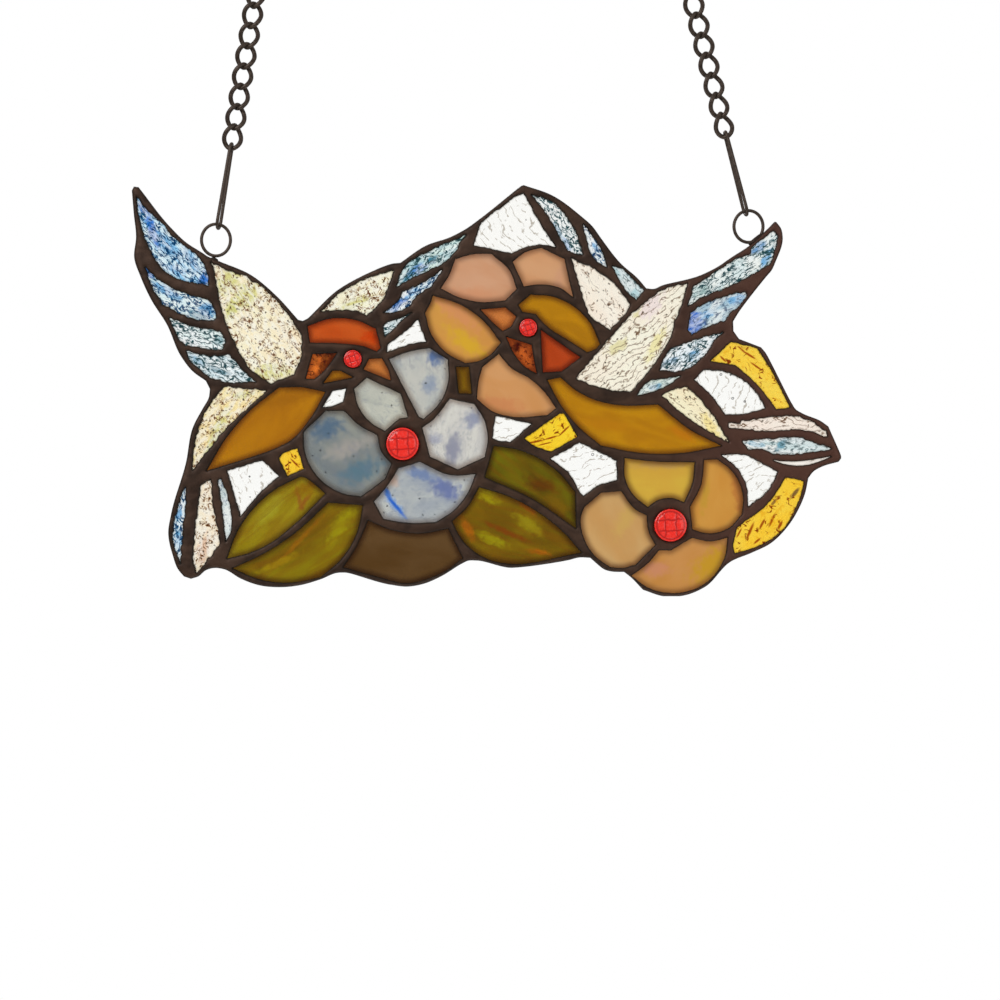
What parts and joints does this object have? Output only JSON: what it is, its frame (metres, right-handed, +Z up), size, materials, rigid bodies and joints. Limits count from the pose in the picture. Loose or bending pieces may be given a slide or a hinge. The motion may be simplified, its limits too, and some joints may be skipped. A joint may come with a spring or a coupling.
{
  "type": "stained glass window panel",
  "caption": "Stained glass panel of two hummingbirds at three flowers, copper-foil seams with dark patina, hung from two short chains.",
  "frame": {"origin": "inside the crown of the left chain's top link, where it hangs, in the middle of the panel's thickness", "axes": "+X to the right across the picture, +Y from the front through to the back, +Z up; the front faces -Y"},
  "size_m": [0.3545, 0.0109, 0.3225],
  "materials": {
    "solder": "dark patina on hand-run solder, satin",
    "blue_opal": "white and blue wispy opal sheet, glossy",
    "aqua_opal": "pale aqua wispy sheet with dark strokes, glossy",
    "cream_opal": "cream and pink mottled opal sheet, glossy",
    "red_orange": "red-orange streaky sheet, glossy",
    "amber_brown": "amber-brown sheet, glossy",
    "clear_seedy": "clear sheet with faint waves and bubbles, glossy",
    "tan_pink": "pinkish tan sheet, glossy",
    "golden_tan": "golden tan sheet, glossy",
    "yellow_amber": "bright yellow sheet with brown strokes, glossy",
    "blue_grey": "grey-white sheet with blue areas and bubbles, glossy",
    "olive_green": "olive green sheet with brown streaks, glossy",
    "dark_brown": "dark brown sheet, glossy",
    "ruby": "clear red pressed glass, polished",
    "wire": "dark patina, satin"
  },
  "bodies": {
    "root": {"solder_seams": "solder", "left_wing_feather_1": "blue_opal", "left_wing_feather_2": "blue_opal", "left_wing_feather_3": "aqua_opal", "left_wing_feather_4": "aqua_opal", "left_wing": "cream_opal", "left_crown": "red_orange", "left_rear_wing": "cream_opal", "left_rear_feather": "aqua_opal", "left_belly": "amber_brown", "left_side": "cream_opal", "left_tail_feather": "cream_opal", "clear_by_left_tail": "clear_seedy", "clear_top": "clear_seedy", "upper_flower_left": "tan_pink", "upper_flower_right": "tan_pink", "upper_flower_lower": "golden_tan", "upper_flower_bottom": "tan_pink", "right_crown": "amber_brown", "right_throat": "red_orange", "right_belly": "amber_brown", "right_side": "cream_opal", "right_wing": "cream_opal", "right_wing_feather_1": "aqua_opal", "right_wing_feather_2": "blue_opal", "right_wing_feather_3": "aqua_opal", "right_rear_wing": "cream_opal", "right_rear_feather": "aqua_opal", "right_tail_feather_1": "cream_opal", "right_tail_feather_2": "aqua_opal", "clear_right_upper": "clear_seedy", "clear_right_lower": "clear_seedy", "clear_middle": "clear_seedy", "amber_right_upper": "yellow_amber", "amber_right_lower": "yellow_amber", "yellow_centre": "yellow_amber", "blue_flower_left": "blue_grey", "blue_flower_upper": "blue_grey", "blue_flower_top": "blue_grey", "blue_flower_right": "blue_grey", "blue_flower_bottom": "blue_grey", "gold_flower_top": "golden_tan", "gold_flower_right": "golden_tan", "gold_flower_bottom": "tan_pink", "gold_flower_left": "golden_tan", "leaf_left_upper": "olive_green", "leaf_left_lower": "olive_green", "leaf_right_upper": "olive_green", "leaf_right_lower": "olive_green", "brown_between_leaves": "dark_brown", "left_eye_jewel": "ruby", "right_eye_jewel": "ruby", "blue_flower_jewel": "ruby", "gold_flower_jewel": "ruby", "left_ring": "wire", "left_hook": "wire", "left_chain": "wire", "right_ring": "wire", "right_hook": "wire", "right_chain": "wire"}
  },
  "joints": []
}
